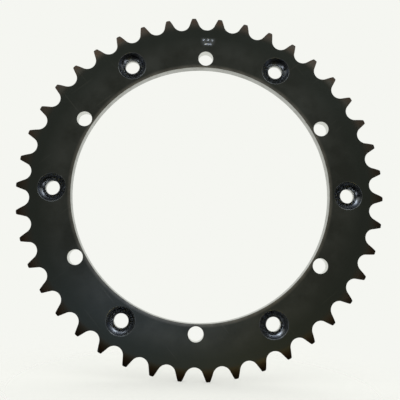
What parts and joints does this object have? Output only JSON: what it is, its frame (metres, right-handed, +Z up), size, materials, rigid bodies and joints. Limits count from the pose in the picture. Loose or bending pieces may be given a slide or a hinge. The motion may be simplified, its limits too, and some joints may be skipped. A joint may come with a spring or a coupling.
{
  "type": "rear sprocket",
  "caption": "Flat toothed steel plate for a motorcycle rear wheel, with a large open centre and alternating countersunk and plain bolt holes.",
  "frame": {"origin": "on the axle's line, in the plane of the back face, which lies against the hub", "axes": "+Y along the axle, from the front (countersunk) face to the hub side; +Z up, through a plain hole; +X to the right, through a countersunk hole"},
  "size_m": [0.2196, 0.0058, 0.219],
  "materials": {
    "blackened_steel": "blackened steel, smooth and slightly glossy"
  },
  "bodies": {
    "root": {"sprocket": "blackened_steel"}
  },
  "joints": []
}
